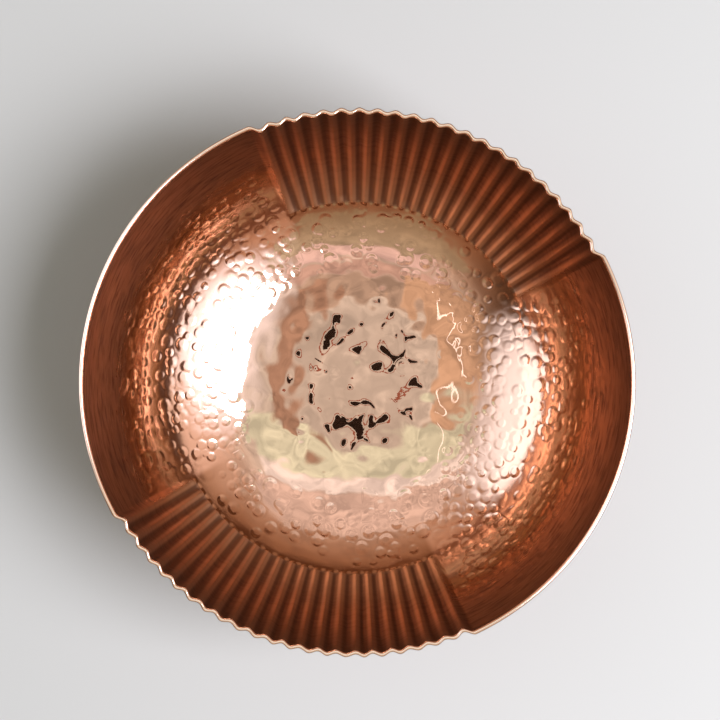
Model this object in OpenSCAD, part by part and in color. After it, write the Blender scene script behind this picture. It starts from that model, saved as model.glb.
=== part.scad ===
// Round hammered copper bowl with two fluted sectors and a wired rim.
// Millimetres. The origin is the middle of the resting face, +Z is up, and the
// fluted sectors face +Y and -Y. The peen marks are surface texture and aren't modelled here.

/* [Bowl] */
// Outer diameter over the rim bead, across the plain sectors
rim_d = 400; // [340:5:460]
// Height from the resting face to the top of the bead
bowl_h = 150; // [120:5:180]
// Diameter of the flat resting face
base_d = 100; // [60:5:140]
// Fullness of the wall's curve: 2 is a quarter of an ellipse, and more gives a flatter floor
fullness = 3.1; // [2.4:0.1:3.8]
// Thickness of the copper sheet
sheet_t = 0.8; // [0.6:0.1:1.2]

/* [Flutes] */
// Inward ridges in each fluted sector
ridge_count = 22; // [10:1:23]
// Angle from one ridge to the next, in degrees
ridge_pitch = 3.9; // [3.6:0.1:4.2]
// Depth of a flute at the rim, from ridge to groove
flute_depth = 2.4; // [1:0.1:3]
// Share of that depth that a flute has at its foot
flute_start = 0.6; // [0.1:0.05:1]
// Distance that a fluted sector is drawn in at the rim
flute_draw = 3.6; // [0:0.1:5]
// Mean height above the resting face at which the flutes run out
flute_foot = 36; // [28:1:44]
// How much lower than that they run out at +Y, and higher at -Y
foot_lean = 2.5; // [0:0.5:4]
// Angle that each fluted sector is off the Y axis, towards +X, in degrees
sector_skew = 1; // [0:0.5:3]

/* [Rim] */
// Diameter of the wire that the edge is rolled around
wire_d = 1.2; // [1:0.1:2]
// Least clearance between the wire and the rolled sheet
wire_gap = 0.04; // [0.02:0.01:0.1]
// Distance between the two butted ends of the wire
butt_gap = 0.4; // [0.2:0.1:1]

/* [Hidden] */
copper = [0.72, 0.4, 0.27];
wire_copper = [0.6, 0.33, 0.22];

// The roll starts at the wall, goes over the top and ends tucked under the wire
roll_start = 180;
roll_end = -100;
roll_steps = 5;
roll_turn = (roll_end - roll_start) / roll_steps;
// Radii and centre of the rolled rim, in the section plane: its flats clear the wire too
roll_inner_r = (wire_d / 2 + wire_gap) / cos(roll_turn / 2);
roll_mid_r = roll_inner_r + sheet_t / 2;
roll_outer_r = roll_inner_r + sheet_t;
bead_centre = [rim_d / 2 - roll_outer_r, bowl_h - roll_outer_r];

// The wall's middle surface is part of a superellipse, from the resting face's edge to the roll
wall_r = bead_centre.x - roll_mid_r;
wall_rise = bead_centre.y - sheet_t / 2;
// Parameter angle of the superellipse at the resting face's edge
base_angle = asin(pow(base_d / 2 / wall_r, fullness / 2));
// The flutes run out over this parameter angle to either side of their foot
foot_band = 2;
steps_below_foot = 3;
steps_above_foot = 5;

// Fluted sectors: half of one, from its middle to its last ridge, and the shoulder beyond
sector_centres = [90 - sector_skew, 270 + sector_skew];
half_sector = (ridge_count - 1) / 2 * ridge_pitch;
shoulder = 2.4;
steps_per_flute = 4;
steps_per_shoulder = 2;
steps_per_plain = 14;
wire_sides = 8;

function wrapped(angle) = angle - 360 * round(angle / 360);

// Angle from the middle of the nearer fluted sector
function sector_offset(angle) = min([for (centre = sector_centres) abs(wrapped(angle - centre))]);

// 1 inside a fluted sector, easing to 0 over its shoulder
function sector_share(offset) =
    offset <= half_sector ? 1 :
    offset >= half_sector + shoulder ? 0 :
    (1 + cos(180 * (offset - half_sector) / shoulder)) / 2;

// 1 on a ridge and -1 in a groove, easing to 0 over the shoulder
function ridge_wave(offset) =
    offset <= half_sector ? cos(360 * (half_sector - offset) / ridge_pitch) : sector_share(offset);

// Radial distance that the sheet is pressed inwards; rise is 0 at the foot and 1 at the rim
function pressed_in(angle, rise) =
    let (
        offset = sector_offset(angle),
        depth = flute_depth * (flute_start + (1 - flute_start) * rise)
    )
    depth / 2 * ridge_wave(offset) + flute_draw * rise * sector_share(offset);

// Height above the resting face at which the flutes run out at this angle
function foot_height(angle) = flute_foot - foot_lean * sin(angle);

// Each point of the sheet's middle line in section: [radius, height, normal, flute share, rise]
function wall_point(t, share, foot) =
    let (
        radius = wall_r * pow(sin(t), 2 / fullness),
        height = sheet_t / 2 + wall_rise * (1 - cos(t) / cos(base_angle)),
        outward = 2 / fullness * radius * cos(t) / sin(t),
        upward = wall_rise * sin(t) / cos(base_angle),
        normal = t > base_angle ? [-upward, outward] / norm([upward, outward]) : [0, 1]
    )
    [radius, height, normal, share, max(0, height - foot) / (bowl_h - foot)];

function roll_point(angle) =
    let (normal = [cos(angle), sin(angle)])
    [bead_centre.x + roll_mid_r * normal.x, bead_centre.y + roll_mid_r * normal.y, normal, 1, 1];

// Angles from first to end, both counted, in equal steps
function stepped(first, end, steps) = [for (i = [0 : steps]) first + (end - first) * i / steps];

// The sheet's middle line where the bowl is cut at this angle
function middle_line(angle) =
    let (
        foot = foot_height(angle),
        foot_t = acos(cos(base_angle) * (1 - foot / wall_rise))
    )
    concat(
        [for (t = stepped(base_angle, foot_t - foot_band, steps_below_foot)) wall_point(t, 0, foot)],
        [for (t = stepped(foot_t + foot_band, 90, steps_above_foot)) wall_point(t, 1, foot)],
        [for (turn = stepped(roll_start + roll_turn, roll_end, roll_steps - 1)) roll_point(turn)]
    );
last = len(middle_line(0)) - 1;
section_size = 2 * (last + 1);

// A point of the sheet's surface, on the side of the normal (side 1) or the other side (side -1)
function sheet_point(m, side, angle) =
    let (radius = m[0] + side * sheet_t / 2 * m[2].x - m[3] * pressed_in(angle, m[4]))
    [radius * cos(angle), radius * sin(angle), m[1] + side * sheet_t / 2 * m[2].y];

function sheet_section(angle) =
    let (line = middle_line(angle))
    concat(
        [for (i = [0 : last]) sheet_point(line[i], -1, angle)],
        [for (i = [last : -1 : 0]) sheet_point(line[i], 1, angle)]
    );

// Angles at which the sections stand, once round from the middle of a plain sector
plain_after = (360 + sector_centres[0] - sector_centres[1]) / 2 - half_sector - shoulder;
plain_between = sector_centres[1] - sector_centres[0] - 2 * (half_sector + shoulder);
first_angle = sector_centres[0] - half_sector - shoulder - plain_after;

// The start of each of so many equal steps over a length
function evenly(start, length, steps) = [for (i = [0 : steps - 1]) start + length * i / steps];

function sector_angles(centre) = concat(
    evenly(centre - half_sector - shoulder, shoulder, steps_per_shoulder),
    evenly(centre - half_sector, 2 * half_sector, (ridge_count - 1) * steps_per_flute),
    evenly(centre + half_sector, shoulder, steps_per_shoulder)
);

angles = concat(
    evenly(first_angle, plain_after, steps_per_plain / 2),
    sector_angles(sector_centres[0]),
    evenly(sector_centres[0] + half_sector + shoulder, plain_between, steps_per_plain),
    sector_angles(sector_centres[1]),
    evenly(sector_centres[1] + half_sector + shoulder, plain_after, steps_per_plain / 2)
);

// Two triangles for each step between ring a and ring b, which start at these point numbers
function band(a, b, size, closed) = [
    for (i = [0 : size - (closed ? 1 : 2)])
        let (next = (i + 1) % size)
        each [[a + i, a + next, b + next], [a + i, b + next, b + i]]
];

module bowl_shell() {
    count = len(angles);
    points = [for (angle = angles) each sheet_section(angle)];
    sides = [
        for (j = [0 : count - 1])
            let (next = (j + 1) % count)
            each band(j * section_size, next * section_size, section_size, false)
    ];
    resting_face = [for (j = [0 : count - 1]) j * section_size];
    floor_face = [for (j = [count - 1 : -1 : 0]) (j + 1) * section_size - 1];
    color(copper)
        polyhedron(points, concat(sides, [resting_face, floor_face]));
}

// A ring of round wire, bent to follow the flutes, with its ends butted in a plain sector
module rim_wire() {
    butt_angle = butt_gap / 2 / bead_centre.x * 180 / PI;
    last_ring = len(angles);
    wire_angles = concat(
        [first_angle + butt_angle],
        [for (j = [1 : last_ring - 1]) angles[j]],
        [first_angle + 360 - butt_angle]
    );
    points = [
        for (angle = wire_angles, side = [0 : wire_sides - 1])
            let (
                turn = 360 * side / wire_sides,
                radius = bead_centre.x - pressed_in(angle, 1) + wire_d / 2 * cos(turn)
            )
            [radius * cos(angle), radius * sin(angle), bead_centre.y + wire_d / 2 * sin(turn)]
    ];
    sides = [
        for (j = [0 : last_ring - 1])
            each band(j * wire_sides, (j + 1) * wire_sides, wire_sides, true)
    ];
    start_face = [for (side = [wire_sides - 1 : -1 : 0]) side];
    end_face = [for (side = [0 : wire_sides - 1]) last_ring * wire_sides + side];
    color(wire_copper)
        polyhedron(points, concat(sides, [start_face, end_face]));
}

bowl_shell();
rim_wire();
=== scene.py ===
"""A hammered copper bowl with two fluted sectors and a wired rim, seen from straight above.

The bowl is worked out in millimetres, and its meshes are made in metres. The lamps and the things
round the bowl are in metres. Angles are in degrees in the part's own frame: +Z is up and the fluted
sectors face +Y and -Y. The bowl's names follow part.scad.
"""

import math

import bpy
import numpy as np
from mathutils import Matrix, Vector


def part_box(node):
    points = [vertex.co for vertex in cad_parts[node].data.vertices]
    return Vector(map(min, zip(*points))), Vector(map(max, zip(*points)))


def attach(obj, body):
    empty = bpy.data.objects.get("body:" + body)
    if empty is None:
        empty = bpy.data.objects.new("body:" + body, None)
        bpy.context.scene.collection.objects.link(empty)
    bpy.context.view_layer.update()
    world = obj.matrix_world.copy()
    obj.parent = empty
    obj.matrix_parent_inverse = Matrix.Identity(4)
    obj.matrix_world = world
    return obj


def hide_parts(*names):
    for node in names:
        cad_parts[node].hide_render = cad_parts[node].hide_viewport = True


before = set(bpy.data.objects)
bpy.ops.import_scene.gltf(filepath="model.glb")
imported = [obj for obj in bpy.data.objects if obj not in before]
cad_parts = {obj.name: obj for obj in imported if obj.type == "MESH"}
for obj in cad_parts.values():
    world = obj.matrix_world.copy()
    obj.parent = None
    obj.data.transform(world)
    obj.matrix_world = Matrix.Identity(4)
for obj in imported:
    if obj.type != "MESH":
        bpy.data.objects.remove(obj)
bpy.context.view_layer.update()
MM = 0.001
RNG = np.random.default_rng(23)

# ---------------------------------------------------------------- the bowl's dimensions

shell_low, shell_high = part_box("bowl_shell")
wire_low, wire_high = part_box("rim_wire")
RIM_R = (shell_high.x - shell_low.x) / 2 / MM
BOWL_H = shell_high.z / MM
BASE_R = 50.0
# Exponent of the wall's superellipse: a higher one gives a flatter floor and a steeper wall
FULLNESS = 3.1
SHEET = 0.8
WIRE_R = (wire_high.z - wire_low.z) / 2 / MM
# Brings the roll to about the radius that it has in the frame, where it is made of flats
WIRE_GAP = 0.12

RIDGE_COUNT = 22
RIDGE_PITCH = 3.9
FLUTE_DEPTH = 2.4
FLUTE_DRAW = 3.6
FLUTE_FOOT = 36.0
# The flutes start this much lower at +Y, and higher at -Y
FOOT_LEAN = 2.5
# Share of the flutes' depth that they already have at their foot
FLUTE_START = 0.6
# The flutes run out over this height
FOOT_BAND = 3.5
SECTOR_SKEW = 1.0
SHOULDER = 2.4
SECTOR_CENTRES = (90 - SECTOR_SKEW, 270 + SECTOR_SKEW)
HALF_SECTOR = (RIDGE_COUNT - 1) / 2 * RIDGE_PITCH

ROLL_INNER_R = WIRE_R + WIRE_GAP
ROLL_MID_R = ROLL_INNER_R + SHEET / 2
ROLL_OUTER_R = ROLL_INNER_R + SHEET
BEAD_R = RIM_R - ROLL_OUTER_R
BEAD_Z = BOWL_H - ROLL_OUTER_R
ROLL_START, ROLL_END = 180.0, -100.0
WALL_R = BEAD_R - ROLL_MID_R
WALL_RISE = BEAD_Z - SHEET / 2

# The photograph's view: from straight above, turned by the roll, and this far off the bowl's axis
CAMERA_OVER_RIM = 940.0
CAMERA_ROLL = 19.0
CAMERA_ASIDE = 14.0
# Share of the frame's width that the rim's diameter fills
RIM_SHARE = 0.775
LENS_SHIFT = (0.004, 0.030)
SENSOR_WIDTH = 36
# Half of the table's width, in metres, and how far the camera sees
TABLE_REACH = 20.0


# ---------------------------------------------------------------- helpers

def smoothstep(x):
    x = np.clip(x, 0, 1)
    return x * x * (3 - 2 * x)


def eased(value, start, length):
    """0 up to start, easing to 1 over this length beyond it."""
    return smoothstep((value - start) / length)


def wrapped(angle):
    return angle - 360 * np.round(angle / 360)


def turned(radius, angle, height):
    """Points at these radii, angles and heights."""
    cos, sin = np.cos(np.radians(angle)), np.sin(np.radians(angle))
    return np.stack([radius * cos, radius * sin, height], -1)


def on_sphere(angle, elevation, distance=1):
    turn = math.radians(angle)
    rise = math.radians(elevation)
    flat = distance * math.cos(rise)
    return Vector((flat * math.cos(turn), flat * math.sin(turn), distance * math.sin(rise)))


def mesh_object(name, points, faces):
    mesh = bpy.data.meshes.new(name)
    mesh.from_pydata(points, [], faces)
    mesh.update()
    mesh.polygons.foreach_set("use_smooth", [True] * len(mesh.polygons))
    thing = bpy.data.objects.new(name, mesh)
    bpy.context.collection.objects.link(thing)
    return thing


# ---------------------------------------------------------------- shader nodes

def feed(tree, node, inputs):
    """Give each of these inputs its value, or link it to the output that feeds it."""
    for key, value in inputs.items():
        if isinstance(value, bpy.types.NodeSocket):
            tree.links.new(value, node.inputs[key])
        else:
            node.inputs[key].default_value = value
    return node


def worked_out(tree, operation, *values, clamp=False):
    node = tree.nodes.new("ShaderNodeMath")
    node.operation = operation
    node.use_clamp = clamp
    return feed(tree, node, dict(enumerate(values))).outputs["Value"]


def ranged(tree, source, start, end, low=0.0, high=1.0, interpolation="LINEAR"):
    """Output that goes from low to high while source goes from start to end."""
    node = tree.nodes.new("ShaderNodeMapRange")
    node.interpolation_type = interpolation
    inputs = {"Value": source, "From Min": start, "From Max": end, "To Min": low, "To Max": high}
    return feed(tree, node, inputs).outputs["Result"]


def mixed(tree, name, share, under, over, blend="MIX"):
    """The colour under, with the plain colour over laid on it by share."""
    node = tree.nodes.new("ShaderNodeMix")
    node.name = name
    node.data_type = "RGBA"
    node.blend_type = blend
    return feed(tree, node, {"Factor": share, "A": under, "B": (*over, 1)}).outputs["Result"]


def noise(tree, place, scale, detail):
    node = tree.nodes.new("ShaderNodeTexNoise")
    return feed(tree, node, {"Vector": place, "Scale": scale, "Detail": detail}).outputs["Fac"]


def layer_share(tree, name):
    """One of the layers that mark_finish keeps in the mesh."""
    node = tree.nodes.new("ShaderNodeAttribute")
    node.attribute_name = name
    return node.outputs["Fac"]


# ---------------------------------------------------------------- camera and lamps

# Direction in the picture, counter-clockwise from the right, then elevation, distance, width, height,
# watts and colour
LAMPS = (
    ("window", -18, 54, 2.4, 1.30, 1.30, 58, (0.98, 0.97, 1.03)),
    ("left_fill", 168, 27, 1.7, 1.50, 0.66, 2.2, (1.00, 0.94, 0.97)),
)


def camera_place():
    """The camera stands a little towards the picture's lower edge."""
    below = math.radians(270 + CAMERA_ROLL)
    aside = Vector((math.cos(below), math.sin(below), 0)) * CAMERA_ASIDE * MM
    return aside + Vector((0, 0, (BOWL_H + CAMERA_OVER_RIM) * MM))


def make_camera():
    data = bpy.data.cameras.new("camera")
    camera = bpy.data.objects.new("camera", data)
    bpy.context.collection.objects.link(camera)
    camera.location = camera_place()
    tilt = math.atan(CAMERA_ASIDE / CAMERA_OVER_RIM)
    camera.rotation_euler = (tilt, 0, math.radians(CAMERA_ROLL))
    frame_width = 2 * RIM_R / RIM_SHARE
    data.sensor_width = SENSOR_WIDTH
    data.lens = SENSOR_WIDTH * CAMERA_OVER_RIM / frame_width
    data.shift_x, data.shift_y = LENS_SHIFT
    data.clip_start = 0.05
    data.clip_end = TABLE_REACH
    bpy.context.scene.camera = camera


def make_lamps():
    middle = Vector((0, 0, BOWL_H / 2 * MM))
    for name, image_angle, elevation, distance, width, height, power, colour in LAMPS:
        data = bpy.data.lights.new(name, "AREA")
        data.shape = "RECTANGLE"
        data.size = width
        data.size_y = height
        data.energy = power
        data.color = colour
        # Not seen again by a second reflection inside the bowl
        data.cycles.max_bounces = 0
        lamp = bpy.data.objects.new(name, data)
        lamp.location = on_sphere(image_angle + CAMERA_ROLL, elevation, distance)
        lamp.rotation_euler = (lamp.location - middle).to_track_quat("Z", "Y").to_euler()
        lamp.visible_camera = False
        bpy.context.collection.objects.link(lamp)


# ---------------------------------------------------------------- the room that the copper mirrors

# The room by the sine of the elevation: brighter overhead, darker towards the horizon
ROOM = (
    (0.00, (0.24, 0.14, 0.09)),
    (0.35, (0.62, 0.36, 0.23)),
    (0.62, (0.66, 0.46, 0.34)),
    (0.93, (0.86, 0.88, 0.82)),
)
# Soft patches of the room overhead. Across and up are the tangents of their angles from straight
# above, as the picture lies: from and to across, from and to up, and then the colour.
PATCHES = (
    ("above_green", -0.45, 0.42, 0.10, 0.32, (1.00, 1.20, 1.00)),
    ("above_white", -0.55, 0.42, 0.32, 0.455, (1.28, 1.34, 1.38)),
    ("above_pink", -0.60, 0.60, 0.455, 1.11, (0.98, 0.86, 0.80)),
    ("below_brown", -0.30, 0.28, -0.425, -0.165, (0.64, 0.56, 0.47)),
    ("below_pink", -0.50, 0.45, -0.565, -0.425, (0.78, 0.62, 0.56)),
    ("below_white", -0.45, 0.34, -0.78, -0.60, (1.10, 0.94, 0.94)),
    ("below_green", -0.90, 0.60, -1.90, -0.78, (0.70, 0.66, 0.50)),
    ("left_tan", -0.75, -0.20, -0.465, 0.10, (0.84, 0.65, 0.47)),
    ("right_brown", 0.10, 0.24, -0.36, 0.16, (0.58, 0.42, 0.32)),
    ("left_slit", -0.362, -0.348, -0.34, 0.00, (2.4, 2.4, 2.4)),
    ("inner_slit", -0.286, -0.276, 0.06, 0.30, (2.2, 2.3, 2.3)),
)
# Half the width of a patch's soft edge, except in a narrow patch
PATCH_EDGE = 0.025
# Small lighter and darker things all over the room: the noise between these is spread over these levels
CLUTTER_SCALE = 10
CLUTTER_DETAIL = 3
CLUTTER_NOISE = (0.32, 0.68)
CLUTTER_LEVELS = (0.74, 1.26)
# Soft round glows over those, some of them round the lamps: direction in the picture, elevation,
# full within and gone beyond these angles, the most reflections that still show it, and colour
GLOWS = (
    ("dim_left", 180, 20, 20, 50, 9, (0.13, 0.08, 0.05)),
    ("bright_right", 0, 24, 15, 45, 9, (1.15, 0.90, 0.76)),
    ("window_glow", -18, 44, 13, 32, 1, (1.85, 2.00, 2.30)),
    ("fill_glow", 168, 32, 10, 34, 1, (1.60, 1.72, 1.90)),
)
# What lights the table, apart from the lamps, and the plain backdrop that the camera sees
PALE_ROOM = (0.20, 0.205, 0.17)
BACKDROP = (0.31, 0.31, 0.29)


def picture_direction(tree):
    """The ray's direction, with X and Y turned to lie as the picture does."""
    place = tree.nodes.new("ShaderNodeTexCoord").outputs["Generated"]
    node = tree.nodes.new("ShaderNodeVectorRotate")
    node.rotation_type = "Z_AXIS"
    return feed(tree, node, {"Vector": place, "Angle": math.radians(-CAMERA_ROLL)}).outputs["Vector"]


def room_colour(tree, elevation_sine):
    ramp = feed(tree, tree.nodes.new("ShaderNodeValToRGB"), {"Fac": elevation_sine})
    # A new ramp has two stops already, and every stop is placed below
    for _ in range(len(ROOM) - 2):
        ramp.color_ramp.elements.new(0.5)
    for stop, (position, colour) in zip(ramp.color_ramp.elements, ROOM):
        stop.position = position
        stop.color = (*colour, 1)
    return ramp.outputs["Color"]


def band_share(tree, source, low, high):
    """Output that is 1 where source is between low and high, with soft edges."""
    soft = min(PATCH_EDGE, (high - low) / 3)
    rising = ranged(tree, source, low - soft, low + soft, interpolation="SMOOTHSTEP")
    falling = ranged(tree, source, high + soft, high - soft, interpolation="SMOOTHSTEP")
    return worked_out(tree, "MULTIPLY", rising, falling)


def with_patches(tree, colour, across, up):
    for name, left, right, low, high, tint in PATCHES:
        sideways = band_share(tree, across, left, right)
        upwards = band_share(tree, up, low, high)
        colour = mixed(tree, name, worked_out(tree, "MULTIPLY", sideways, upwards), colour, tint)
    return colour


def with_clutter(tree, colour, direction):
    clutter = noise(tree, direction, CLUTTER_SCALE, CLUTTER_DETAIL)
    level = ranged(tree, clutter, *CLUTTER_NOISE, *CLUTTER_LEVELS)
    node = tree.nodes.new("ShaderNodeVectorMath")
    node.operation = "SCALE"
    return feed(tree, node, {"Vector": colour, "Scale": level}).outputs["Vector"]


def with_glows(tree, colour, direction, reflections_so_far):
    for name, image_angle, elevation, full, gone, reflections, tint in GLOWS:
        soon = worked_out(tree, "LESS_THAN", reflections_so_far, reflections + 0.5)
        node = tree.nodes.new("ShaderNodeVectorMath")
        node.operation = "DOT_PRODUCT"
        near = feed(tree, node, {0: direction, 1: on_sphere(image_angle, elevation)}).outputs["Value"]
        edges = (math.cos(math.radians(gone)), math.cos(math.radians(full)))
        fade = ranged(tree, near, *edges, interpolation="SMOOTHSTEP")
        colour = mixed(tree, name, worked_out(tree, "MULTIPLY", fade, soon), colour, tint)
    return colour


def make_world():
    """A plain room with soft patches and glows, which the polished copper shows as bands."""
    world = bpy.data.worlds.new("room")
    world.use_nodes = True
    tree = world.node_tree
    direction = picture_direction(tree)
    parts = feed(tree, tree.nodes.new("ShaderNodeSeparateXYZ"), {"Vector": direction}).outputs
    across = worked_out(tree, "DIVIDE", parts["X"], parts["Z"])
    up = worked_out(tree, "DIVIDE", parts["Y"], parts["Z"])
    path = tree.nodes.new("ShaderNodeLightPath").outputs
    colour = room_colour(tree, parts["Z"])
    colour = with_patches(tree, colour, across, up)
    colour = with_clutter(tree, colour, direction)
    colour = with_glows(tree, colour, direction, path["Glossy Depth"])
    # The table is lit by a plain room; only the copper mirrors the patches
    colour = mixed(tree, "plain_room", path["Is Diffuse Ray"], colour, PALE_ROOM)
    colour = mixed(tree, "backdrop", path["Is Camera Ray"], colour, BACKDROP)
    feed(tree, tree.nodes["Background"], {"Color": colour})
    bpy.context.scene.world = world


# ---------------------------------------------------------------- table, and things behind the lens

RING_SIDES = 24
BEHIND_LENS = 0.06
CARD_R = 0.021
STRAP_RADII = (0.027, 0.031)
# The strap's glow is painted light, standing in for the light that falls on it
STRAP_PAINTED_LIGHT = 0.5


def plain_material(name, colour, roughness, glow=0.0):
    material = bpy.data.materials.new(name)
    material.use_nodes = True
    shader = material.node_tree.nodes["Principled BSDF"]
    shader.inputs["Base Color"].default_value = (*colour, 1)
    shader.inputs["Roughness"].default_value = roughness
    shader.inputs["Emission Color"].default_value = (*colour, 1)
    shader.inputs["Emission Strength"].default_value = glow
    return material


def ring_points(radius):
    turns = [math.tau * i / RING_SIDES for i in range(RING_SIDES)]
    return [(radius * math.cos(turn), radius * math.sin(turn), 0) for turn in turns]


def behind_lens(name, points, faces, material):
    """A thing that only the copper's reflections show."""
    thing = mesh_object(name, points, faces)
    thing.location = camera_place() + Vector((0, 0, BEHIND_LENS))
    thing.visible_shadow = False
    thing.visible_camera = False
    thing.data.materials.append(material)
    return thing


def make_stage():
    corners = [(x * TABLE_REACH, y * TABLE_REACH, 0) for x, y in ((-1, -1), (1, -1), (1, 1), (-1, 1))]
    table = mesh_object("table", corners, [(0, 1, 2, 3)])
    table.data.materials.append(plain_material("table_white", (0.72, 0.72, 0.71), 0.85))
    # A dark card and a brown strap stand for the camera and whoever holds it; the strap glows a little,
    # painted light standing in for the light that falls on it
    card_face = list(range(RING_SIDES))[::-1]
    black = plain_material("camera_black", (0.12, 0.07, 0.055), 0.6)
    card = behind_lens("camera_card", ring_points(CARD_R), [card_face], black)
    strap_points = [point for radius in STRAP_RADII for point in ring_points(radius)]
    steps = [(i, (i + 1) % RING_SIDES) for i in range(RING_SIDES)]
    strap_faces = [(here, RING_SIDES + here, RING_SIDES + after, after) for here, after in steps]
    brown = plain_material("strap_brown", (0.60, 0.22, 0.15), 0.6, STRAP_PAINTED_LIGHT)
    strap = behind_lens("camera_strap", strap_points, strap_faces, brown)


# ---------------------------------------------------------------- the shape of the sheet

# Each flute was pressed by hand: these shift and deepen them a little
FLUTE_SHIFTS = RNG.uniform(-0.22, 0.22, (2, RIDGE_COUNT + 3))
FLUTE_GAINS = RNG.uniform(0.85, 1.12, (2, RIDGE_COUNT + 3))
# Straight flanks between narrow ridges and grooves, and rounder ones where the rim is rolled
FLANK_SHARPNESS = 0.97
SHARPNESS_LOST = 0.5
ROUNDER_RISE = (0.7, 0.3)
# The outside leaves its flat resting face over this distance
FLAT_EDGE = 20
# Points of the section: finer at first, where the radius grows fastest
CORE_T, CORE_STEPS = 4, 200
WALL_STEPS = 500
ROLL_STEPS = 80


def sector_offset(angle):
    """Angle from the middle of the nearer fluted sector, and whether that is the first sector."""
    a, b = (wrapped(angle - centre) for centre in SECTOR_CENTRES)
    return np.where(np.abs(a) < np.abs(b), a, b), np.abs(a) < np.abs(b)


def sector_share(offset):
    shoulder = (1 + np.cos(np.pi * np.clip((offset - HALF_SECTOR) / SHOULDER, 0, 1))) / 2
    return np.where(offset <= HALF_SECTOR, 1.0, shoulder)


def ridge_wave(signed_offset, first_sector, rise):
    """1 on a ridge and -1 in a groove, with each flute's own shift and depth."""
    place = np.clip((signed_offset + HALF_SECTOR) / RIDGE_PITCH + 1, 0, RIDGE_COUNT + 1.999)
    index = place.astype(int)
    part = smoothstep(place - index)
    row = np.where(first_sector, 0, 1)
    shift = FLUTE_SHIFTS[row, index] * (1 - part) + FLUTE_SHIFTS[row, index + 1] * part
    gain = FLUTE_GAINS[row, index] * (1 - part) + FLUTE_GAINS[row, index + 1] * part
    sharpness = FLANK_SHARPNESS - SHARPNESS_LOST * eased(rise, *ROUNDER_RISE)
    wave = np.cos(2 * np.pi * (signed_offset + shift - HALF_SECTOR) / RIDGE_PITCH)
    inside = np.arcsin(sharpness * wave) / np.arcsin(sharpness)
    offset = np.abs(signed_offset)
    return gain * np.where(offset <= HALF_SECTOR, inside, sector_share(offset))


def foot_height(angle):
    return FLUTE_FOOT - FOOT_LEAN * np.sin(np.radians(angle))


def flute_rise(height, foot):
    """0 at the flutes' foot and 1 at the rim."""
    return np.clip((height - foot) / (BOWL_H - foot), 0, 1)


def pressed_in(angle, height):
    """Radial distance that the sheet is pressed inwards at a place on the wall."""
    signed, first = sector_offset(angle)
    share = sector_share(np.abs(signed))
    foot = foot_height(angle)
    fluted = smoothstep((height - foot) / FOOT_BAND + 0.5)
    rise = flute_rise(height, foot)
    depth = FLUTE_DEPTH * (FLUTE_START + (1 - FLUTE_START) * rise)
    return fluted * depth / 2 * ridge_wave(signed, first, rise) + FLUTE_DRAW * rise * share


class Line:
    """The sheet's middle line in section, from the floor's middle to the roll's lip, by arc length."""

    def __init__(self):
        t = np.radians(np.r_[np.linspace(0, CORE_T, CORE_STEPS)[:-1], np.linspace(CORE_T, 90, WALL_STEPS)])
        rise = SHEET / 2 + WALL_RISE * (1 - np.cos(t))
        wall = np.c_[WALL_R * np.sin(t) ** (2 / FULLNESS), rise]
        along = np.gradient(wall, axis=0)
        wall_normal = np.c_[-along[:, 1], along[:, 0]] / np.linalg.norm(along, axis=1)[:, None]
        wall_normal[0], wall_normal[-1] = (0, 1), (-1, 0)
        turn = np.radians(np.linspace(ROLL_START, ROLL_END, ROLL_STEPS))[1:]
        roll_normal = np.c_[np.cos(turn), np.sin(turn)]
        roll = np.array([BEAD_R, BEAD_Z]) + ROLL_MID_R * roll_normal
        self.points = np.r_[wall, roll]
        self.normals = np.r_[wall_normal, roll_normal]
        steps = np.linalg.norm(np.diff(self.points, axis=0), axis=1)
        self.s = np.r_[0, np.cumsum(steps)]
        self.wall_end = self.s[len(wall) - 1]
        self.end = self.s[-1]

    def at(self, s):
        """Radius, height, and the normal's two parts at arc lengths s."""
        columns = (self.points[:, 0], self.points[:, 1], self.normals[:, 0], self.normals[:, 1])
        return [np.interp(s, self.s, column) for column in columns]


LINE = Line()


def surface(s, angle, side):
    """Points and normals of the unhammered sheet, on its inner side (1) or its outer side (-1)."""
    radius, height, normal_r, normal_z = LINE.at(s)
    pressed = pressed_in(angle, np.where(s > LINE.wall_end, BOWL_H, height))
    r = radius + side * SHEET / 2 * normal_r - pressed
    z = height + side * SHEET / 2 * normal_z
    if side < 0:
        z = z * eased(radius, BASE_R, FLAT_EDGE)
    return turned(r, angle, z), turned(normal_r, angle, normal_z)


# ---------------------------------------------------------------- hammering

# A pair says where a change starts and how long it takes: heights above the resting face, unless
# the comment says otherwise
PLANISHED = (5, 12)
# Share of the wall's marks, and of their depth, that the planished floor has
FLOOR_CROWD = 0.02
FLOOR_DEPTH = 0.15
# Towards the rim the marks get fewer, and before that shallower by this share
MARKS_THIN = (88, 32)
MARKS_FADE = (70, 40)
FADE_SHARE = 0.7
PEEN_TRIES = 16000
# Radius of a mark: the middle and spread of what is drawn, and its limits
PEEN_R, PEEN_R_SPREAD = 5.2, 0.9
PEEN_R_LIMITS = (3.2, 7.0)
PEEN_DEPTH, PEEN_DEPTH_SPREAD = 0.20, 0.09
PEEN_DEPTH_LIMITS = (0.04, 0.42)
# How oval the marks are
PEEN_LEAN = 0.16
# Least distance between two marks, as a share of their two radii together
CROWDING = 0.70
# The smooth margin beside the flutes, in degrees, and the height below their foot that has few marks
MARGIN = 3.6
CALM_FOOT = 4
CALM_SHARE = 0.68
# In a mark's radii: its flat middle and sloping edge, its lip's place and width, and where it has faded
CRATER = (0.42, 0.58)
LIP_SHARE, LIP_AT, LIP_WIDTH = 0.12, 1.05, 0.18
MARK_EDGE = 0.3
MARK_REACH = 1.4
# A mark within this many of its radii from the middle may go all the way round
WHOLE_RING = 3

# Slow bumps of hand-raised sheet, broad ones and then fine ones on the floor: how many, how far
# along the sheet they go, their least and greatest width, and their greatest height
SWELL_KINDS = (
    (260, LINE.wall_end, 13, 26, 0.20),
    (1500, 215, 4.5, 10, 0.15),
)
SWELL_CROWD = 0.6
SWELL_REACH = 2.5
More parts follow.
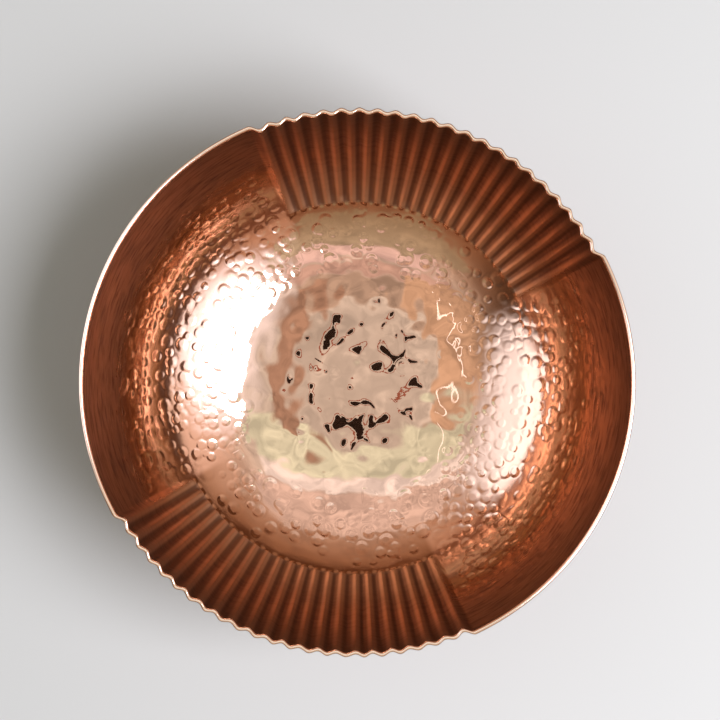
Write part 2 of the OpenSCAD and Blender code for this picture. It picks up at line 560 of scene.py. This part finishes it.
# The liveliest ring lies between the floor's calm middle and the wall, by arc length
LIVELY_FROM = (38, 18)
LIVELY_TO = (80, 25)
CALM_SWELL, LIVELY_SWELL = 0.6, 0.9


def off_floor(height):
    """0 on the planished floor and 1 on the wall."""
    return eased(height, *PLANISHED)


def plain_share(angle):
    """1 where the wall is hammered, 0 on the flutes and in the smooth margin beside them."""
    signed, _ = sector_offset(angle)
    return eased(np.abs(signed) - HALF_SECTOR, SHOULDER, MARGIN)


def spread_out(points, size, candidates):
    """Those of the candidates that don't crowd one chosen before them."""
    chosen = []
    cells = {}
    cell = 2 * PEEN_R_LIMITS[1]
    around = [(x, y, z) for x in (-1, 0, 1) for y in (-1, 0, 1) for z in (-1, 0, 1)]
    for i in candidates:
        key = tuple((points[i] // cell).astype(int))
        near = [j for x, y, z in around for j in cells.get((key[0] + x, key[1] + y, key[2] + z), ())]
        if near:
            gaps = np.linalg.norm(points[near] - points[i], axis=1)
            if np.any(gaps < CROWDING * (size[near] + size[i])):
                continue
        cells.setdefault(key, []).append(i)
        chosen.append(i)
    return np.array(chosen)


def make_peens():
    """Where the hammer fell: place, radius, depth and lean of each mark, then its arc length and angle."""
    s = LINE.wall_end * RNG.random(PEEN_TRIES)
    radius, height, _, _ = LINE.at(s)
    # More tries further out, where there is more sheet
    crowd = radius / RIM_R * (FLOOR_CROWD + (1 - FLOOR_CROWD) * off_floor(height))
    keep = RNG.random(PEEN_TRIES) < crowd * (1 - eased(height, *MARKS_THIN))
    s, height = s[keep], height[keep]
    angle = RNG.random(len(s)) * 360
    size = np.clip(RNG.normal(PEEN_R, PEEN_R_SPREAD, len(s)), *PEEN_R_LIMITS)
    in_sector = plain_share(angle) < 0.5
    smooth = in_sector & ((height > FLUTE_FOOT - CALM_FOOT) | (RNG.random(len(s)) < CALM_SHARE))
    points, _ = surface(s, angle, 1)
    chosen = spread_out(points, size, np.flatnonzero(~smooth))
    depth = np.clip(RNG.normal(PEEN_DEPTH, PEEN_DEPTH_SPREAD, len(chosen)), *PEEN_DEPTH_LIMITS)
    level = height[chosen]
    on_floor = FLOOR_DEPTH + (1 - FLOOR_DEPTH) * off_floor(level)
    depth *= on_floor * (1 - FADE_SHARE * eased(level, *MARKS_FADE))
    # No two blows were square: each mark is a little oval, this way or that
    lean = RNG.normal(0, PEEN_LEAN, (len(chosen), 3))
    return np.c_[points[chosen], size[chosen], depth, lean], s[chosen], angle[chosen]


def make_swells():
    """The slow bumps: place, width and height of each, then its arc length."""
    s = np.concatenate([RNG.random(count) ** SWELL_CROWD * far for count, far, *_ in SWELL_KINDS])
    points, _ = surface(s, RNG.random(len(s)) * 360, 1)
    width = np.concatenate([RNG.uniform(least, most, count) for count, _, least, most, _ in SWELL_KINDS])
    height = np.concatenate([RNG.uniform(-tallest, tallest, count) for count, *_, tallest in SWELL_KINDS])
    broad = SWELL_KINDS[0][0]
    on_floor = s[broad:]
    lively = LIVELY_SWELL * eased(on_floor, *LIVELY_FROM) * (1 - eased(on_floor, *LIVELY_TO))
    height[broad:] *= CALM_SWELL + lively
    return np.c_[points, width, height], s


PEENS, PEEN_S, PEEN_ANGLE = make_peens()
SWELLS, SWELL_S = make_swells()


def peen_section(gap, deep):
    """Depth of one mark at gap radii from its middle: a flat crater with a thin raised lip."""
    crater = deep * (1 - eased(gap, *CRATER))
    lip = LIP_SHARE * deep * np.exp(-((gap - LIP_AT) / LIP_WIDTH) ** 2)
    return crater - lip


def reached_columns(x, y, size, angle, stations):
    """The stations of each ring that a mark may reach."""
    around = math.hypot(x, y)
    if around < WHOLE_RING * size:
        return np.arange(stations)
    half = math.degrees(size * MARK_REACH / around) / 360 * stations + 1
    middle = angle / 360 * stations
    return np.arange(math.floor(middle - half), math.ceil(middle + half) + 1) % stations


def hammer_depth(points, s):
    """How far the hammer drove the sheet outwards at each point of a block of rings by stations."""
    depth = np.zeros(points.shape[:2])
    for (x, y, z, size, deep, *lean), peen_s, peen_angle in zip(PEENS, PEEN_S, PEEN_ANGLE):
        first, last = np.searchsorted(s, (peen_s - size * MARK_REACH, peen_s + size * MARK_REACH))
        if first >= last:
            continue
        columns = reached_columns(x, y, size, peen_angle, points.shape[1])
        away = (points[first:last][:, columns] - (x, y, z)) / size
        squashed = away + (away @ np.array(lean))[..., None] * away
        gap = np.sqrt((squashed ** 2).sum(-1))
        mark = peen_section(gap, deep)
        old = depth[first:last][:, columns]
        # A later mark wipes out what lies inside it, and its lip adds to what lies outside
        inside = smoothstep((1 - gap) / MARK_EDGE)
        merged = (old + mark) * (1 - inside) + np.maximum(old, mark) * inside
        depth[np.ix_(np.arange(first, last), columns)] = merged
    return depth


def swell(points, s):
    """Height of the slow bumps at each point of a block of rings by stations."""
    total = np.zeros(points.shape[:-1])
    for (x, y, z, width, height), swell_s in zip(SWELLS, SWELL_S):
        first, last = np.searchsorted(s, (swell_s - SWELL_REACH * width, swell_s + SWELL_REACH * width))
        if first < last:
            patch = points[first:last]
            total[first:last] += height * np.exp(-((patch - (x, y, z)) ** 2).sum(-1) / (width * width))
    return total


# ---------------------------------------------------------------- the mesh

STATIONS = 1536
LEAST_STATIONS = 32
# A ring has half as many stations where its radius is under this share of the rim's, and so on
HALVING = 0.52
RING_STEP = 0.7
OUTER_STEP = 1.5
INNER_ROLL_RINGS = 20
OUTER_ROLL_RINGS = 14
# The marks are deeper outside
OUTER_DEPTH = 1.3
# Arc lengths from the roll and from the resting face's edge over which the sheet gets smooth, or stops
CALM_ROLL = (-14, 12)
CALM_BASE = (4, 20)
WIRE_STATIONS, WIRE_SIDES = 960, 14
BUTT_GAP = 0.4


def ring_stations(radius):
    """Stations on a ring, halved each time that the ring gets small enough."""
    count = STATIONS
    while radius < HALVING * RIM_R * count / STATIONS and count > LEAST_STATIONS:
        count //= 2
    return count


def inner_rings():
    floor_and_wall = np.arange(RING_STEP * 2, LINE.wall_end, RING_STEP)
    return np.r_[floor_and_wall, np.linspace(LINE.wall_end, LINE.end, INNER_ROLL_RINGS)]


def outer_rings():
    roll = np.linspace(LINE.end, LINE.wall_end, OUTER_ROLL_RINGS)
    wall = np.arange(LINE.wall_end, RING_STEP * 2, -OUTER_STEP)[1:]
    return np.r_[roll, wall]


def side_rings(ring_s, side):
    """The hammered rings of one side, each an array of points and how deep the hammer drove them."""
    counts = np.array([ring_stations(LINE.at(s)[0]) for s in ring_s])
    rings = [None] * len(ring_s)
    for count in sorted(set(counts)):
        index = np.flatnonzero(counts == count)
        angles = np.arange(count) * 360 / count
        grid_s, grid_angle = np.meshgrid(ring_s[index], angles, indexing="ij")
        points, normals = surface(grid_s, grid_angle, side)
        inside, _ = surface(grid_s, grid_angle, 1)
        order = np.argsort(ring_s[index])
        depth, bumps = np.zeros(points.shape[:2]), np.zeros(points.shape[:2])
        depth[order] = hammer_depth(inside[order], ring_s[index][order])
        bumps[order] = swell(inside[order], ring_s[index][order])
        if side < 0:
            depth *= OUTER_DEPTH
        move = (bumps - depth) * (1 - eased(grid_s - LINE.wall_end, *CALM_ROLL))
        if side < 0:
            # The resting face stays flat
            move *= eased(grid_s - BASE_R, *CALM_BASE)
        points = points + normals * move[..., None]
        for row, ring in enumerate(index):
            rings[ring] = np.c_[points[row], depth[row]]
    return rings


def join_rings(starts, counts):
    """Faces between each ring and the next, where the next may have half or twice as many points."""
    faces = []
    for a, b, m, n in zip(starts[:-1], starts[1:], counts[:-1], counts[1:]):
        k = np.arange(min(m, n))
        after = (k + 1) % min(m, n)
        if m == n:
            faces += np.c_[a + k, b + k, b + after, a + after].tolist()
        elif n == 2 * m:
            near, middle, far = b + 2 * k, b + 2 * k + 1, b + (2 * k + 2) % n
            faces += np.c_[a + k, near, middle].tolist()
            faces += np.c_[a + k, middle, a + after].tolist()
            faces += np.c_[a + after, middle, far].tolist()
        else:
            near, middle, far = a + 2 * k, a + 2 * k + 1, a + (2 * k + 2) % m
            faces += np.c_[near, b + k, middle].tolist()
            faces += np.c_[middle, b + k, b + after].tolist()
            faces += np.c_[middle, b + after, far].tolist()
    return faces


def fan(middle, here, after):
    """Faces from a middle point to each point of a ring and the one after it."""
    return np.c_[np.full(len(here), middle), here, after].tolist()


def make_shell():
    inner, outer = side_rings(inner_rings(), 1), side_rings(outer_rings(), -1)
    rings = inner + outer
    counts = [len(ring) for ring in rings]
    side = np.r_[np.ones(sum(map(len, inner))), -np.ones(sum(map(len, outer))), 1, -1]
    starts = np.r_[0, np.cumsum(counts)[:-1]]
    middle_points = np.array([[0, 0, rings[0][:, 2].mean(), 0], [0, 0, rings[-1][:, 2].mean(), 0]])
    values = np.concatenate(rings + [middle_points])
    faces = join_rings(starts, counts)
    top_middle = sum(counts)
    first_ring = np.arange(counts[0])
    faces += fan(top_middle, first_ring, np.roll(first_ring, -1))
    last_ring = starts[-1] + np.arange(counts[-1])
    faces += fan(top_middle + 1, np.roll(last_ring, -1), last_ring)
    shell = mesh_object("hammered_shell", (values[:, :3] * MM).tolist(), faces)
    mark_finish(shell, values[:, :3], values[:, 3], side)
    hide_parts("bowl_shell")
    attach(shell, "root")
    return shell


def make_wire():
    """The round wire in the rolled edge, with its butted ends in a plain sector."""
    butt = math.degrees(BUTT_GAP / 2 / BEAD_R)
    angles = np.linspace(butt, 360 - butt, WIRE_STATIONS)
    turns = np.arange(WIRE_SIDES) * 2 * np.pi / WIRE_SIDES
    grid_angle, grid_turn = np.meshgrid(angles, turns, indexing="ij")
    pressed = pressed_in(grid_angle, np.full(grid_angle.shape, BOWL_H))
    radius = BEAD_R - pressed + WIRE_R * np.cos(grid_turn)
    points = turned(radius, grid_angle, BEAD_Z + WIRE_R * np.sin(grid_turn)).reshape(-1, 3)
    faces = []
    k = np.arange(WIRE_SIDES)
    after = (k + 1) % WIRE_SIDES
    for a in range(0, (WIRE_STATIONS - 1) * WIRE_SIDES, WIRE_SIDES):
        b = a + WIRE_SIDES
        faces += np.c_[a + k, a + after, b + after, b + k].tolist()
    faces.append(k[::-1].tolist())
    faces.append(((WIRE_STATIONS - 1) * WIRE_SIDES + k).tolist())
    wire = mesh_object("drawn_wire", (points * MM).tolist(), faces)
    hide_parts("rim_wire")
    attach(wire, "root")
    return wire


# ---------------------------------------------------------------- how the copper has aged, and the shade painted on it

# Where a change starts and how long it takes: heights above the resting face
# The first of these browns the copper up the wall and the last darkens it higher up, both as painted shade
CLIMBED = (28, 45)
HANDLED = (10, 16)
BRUSHED = (50, 45)
PAINTED_SHADE_RISE = (60, 40)
# The same from the rim, and from the flutes' foot
WORN_EDGE = (-5, 3)
FLUTED_EDGE = (-1, 2)
BELOW_FLUTES_EDGE = (-26, 28)
# The same across a flute's flank, and in how deep the hammer drove the sheet
FLANK = (-0.45, 0.9)
FACET = (0, 0.22)
# Strengths of the layers and of what weakens them
HANDLED_SATIN = 0.4
# The first and the last are strengths of painted shade, up the wall and between the outside marks
HIGH_PAINTED_SHADE, BELOW_FLUTES_DARKENING, BETWEEN_PAINTED_SHADE = 0.5, 0.4, 0.3
WORN_SHINE, OUTER_SHINE, OUTER_LIGHTER = 0.8, 0.5, 0.7
FLUTE_CLEAN = 0.75


def mark_finish(shell, points, driven, side):
    """Keep in each point how satin, browned, darkened, scratched and worn the copper is, or outside; the
    browning up the wall and the darkening in the grooves, up the wall and between the outside marks are
    painted shade.
    """
    angle = np.degrees(np.arctan2(points[:, 1], points[:, 0]))
    signed, first = sector_offset(angle)
    height = points[:, 2]
    foot = foot_height(angle)
    in_sector = sector_share(np.abs(signed))
    fluted = in_sector * eased(height - foot, *FLUTED_EDGE)
    worn = eased(height - BOWL_H, *WORN_EDGE)
    # The copper is browner and darker just below the flutes
    below_flutes = in_sector * eased(height - foot, *BELOW_FLUTES_EDGE)
    # Painted shade: this share browns the copper up the wall, standing in for the darker reflections of
    # the steep wall, and brings in the streaks
    climbed = eased(height, *CLIMBED)
    handled = HANDLED_SATIN * eased(height, *HANDLED)
    brushed = np.maximum(fluted, np.maximum(handled, eased(height, *BRUSHED)))
    # Painted shade darkens the flutes' grooves; the grooves of one side are the ridges of the other, and
    # the outside was kept brighter
    grooves = fluted * eased(-side * ridge_wave(signed, first, flute_rise(height, foot)), *FLANK)
    # Painted shade: the plain wall darkens higher up, standing in for its darker reflections; the copper
    # also darkens below the flutes
    darkening = (1 - fluted) * np.maximum(HIGH_PAINTED_SHADE * eased(height, *PAINTED_SHADE_RISE), BELOW_FLUTES_DARKENING * below_flutes)
    outer = (side < 0) * (1 - worn)
    kept = 1 - OUTER_LIGHTER * outer
    # Painted shade outside: the copper between the hammer marks is darkened, so that each mark's face
    # looks like a bright facet
    between = BETWEEN_PAINTED_SHADE * outer * (1 - fluted) * (1 - eased(driven, *FACET))
    layers = {
        "satin": brushed * (1 - WORN_SHINE * worn) * (1 - OUTER_SHINE * outer),
        "browner": np.maximum(below_flutes, climbed) * (1 - worn) * kept,
        "darker_share": np.maximum(np.maximum(grooves, darkening) * (1 - worn) * kept, between),
        "strokes": climbed * (1 - FLUTE_CLEAN * fluted) * (1 - worn) * kept,
        "worn": worn,
        "outer": outer,
    }
    for name, values in layers.items():
        layer = shell.data.attributes.new(name, "FLOAT", "POINT")
        layer.data.foreach_set("value", values.astype(np.float32))


# ---------------------------------------------------------------- copper

POLISHED = (0.74, 0.475, 0.36)
# Browner copper: painted shade up the wall, and the tone of the band below the flutes
BROWN_TONE = (0.54, 0.30, 0.18)
# Dark copper for the streaks' tarnish and for the painted shade
DARK_STREAK_AND_SHADE = (0.19, 0.095, 0.06)
RUBBED = (0.92, 0.70, 0.58)
# The outside is a warmer copper, as handling leaves it
OUTER_TINT = (1.0, 0.74, 0.60)
DRAWN = (0.50, 0.29, 0.21)
CLOUD_SCALE, CLOUD_DETAIL = 16, 5
# How far the cloud moves the border between the two tones, and the middle of that
CLOUD_STRENGTH = 0.45
CLOUD_MIDDLE = 0.22
# Streaks are short up the wall and long round it
STREAK_SCALE = (55, 55, 380)
STREAK_DETAIL = 4
# Values of the streaks' noise between which the strokes, and the uneven polish, come in
STROKE_NOISE = (0.45, 0.70)
STROKE_STRENGTH = 0.6
DARKER_SHARE_STRENGTH = 0.9
UNEVEN_NOISE = (0.3, 0.7)
UNEVENNESS = 0.05
BUMP_STRENGTH = 0.15
BUMP_HEIGHT = 0.0002


def copper_colour(tree, place, streak, browner):
    # The cloud moves the border between the two tones up and down, and mottles both
    cloud = noise(tree, place, CLOUD_SCALE, CLOUD_DETAIL)
    climb = worked_out(tree, "SUBTRACT", layer_share(tree, "browner"), CLOUD_MIDDLE)
    mottle = worked_out(tree, "MULTIPLY_ADD", cloud, CLOUD_STRENGTH, climb, clamp=True)
    tone = mixed(tree, "tone", mottle, (*POLISHED, 1), browner)
    warmed = mixed(tree, "warmed", layer_share(tree, "outer"), tone, OUTER_TINT, blend="MULTIPLY")
    # Painted shade darkens the grooves, the upper wall and the outside between the marks, the copper
    # darkens below the flutes, and tarnish lies along some of the brush strokes
    darker_share = worked_out(tree, "MULTIPLY", layer_share(tree, "darker_share"), DARKER_SHARE_STRENGTH)
    stroke = ranged(tree, streak, *STROKE_NOISE, high=STROKE_STRENGTH)
    strokes = layer_share(tree, "strokes")
    darkening = worked_out(tree, "MULTIPLY_ADD", stroke, strokes, darker_share, clamp=True)
    deep = mixed(tree, "streaks_and_shade", darkening, warmed, DARK_STREAK_AND_SHADE)
    # Hands keep the rim bright
    return mixed(tree, "rubbed", layer_share(tree, "worn"), deep, RUBBED)


def copper_material(name, browner, polish_roughness, brushed_roughness):
    """Copper that is bright and polished low down and browner towards the rim, with fine streaks; the
    browning and darkening up the wall are painted shade.
    """
    material = bpy.data.materials.new(name)
    material.use_nodes = True
    tree = material.node_tree
    shader = tree.nodes["Principled BSDF"]
    shader.inputs["Metallic"].default_value = 1.0
    place = tree.nodes.new("ShaderNodeTexCoord").outputs["Object"]
    stretch = feed(tree, tree.nodes.new("ShaderNodeMapping"), {"Vector": place, "Scale": STREAK_SCALE})
    streak = noise(tree, stretch.outputs["Vector"], 1, STREAK_DETAIL)
    levels = (brushed_roughness - UNEVENNESS, brushed_roughness + UNEVENNESS)
    uneven = ranged(tree, streak, *UNEVEN_NOISE, *levels)
    roughness = worked_out(tree, "MULTIPLY_ADD", layer_share(tree, "satin"), uneven, polish_roughness)
    relief = {"Strength": BUMP_STRENGTH, "Distance": BUMP_HEIGHT, "Height": streak}
    bump = feed(tree, tree.nodes.new("ShaderNodeBump"), relief)
    colour = copper_colour(tree, place, streak, browner)
    feed(tree, shader, {"Base Color": colour, "Roughness": roughness, "Normal": bump.outputs["Normal"]})
    return material


# ---------------------------------------------------------------- assembly

make_camera()
make_lamps()
make_world()
make_stage()
shell = make_shell()
wire = make_wire()
shell.data.materials.append(copper_material("hammered_copper", BROWN_TONE, 0.0, 0.34))
wire.data.materials.append(copper_material("drawn_copper", DRAWN, 0.25, 0.32))
bpy.context.scene.view_settings.view_transform = "Standard"
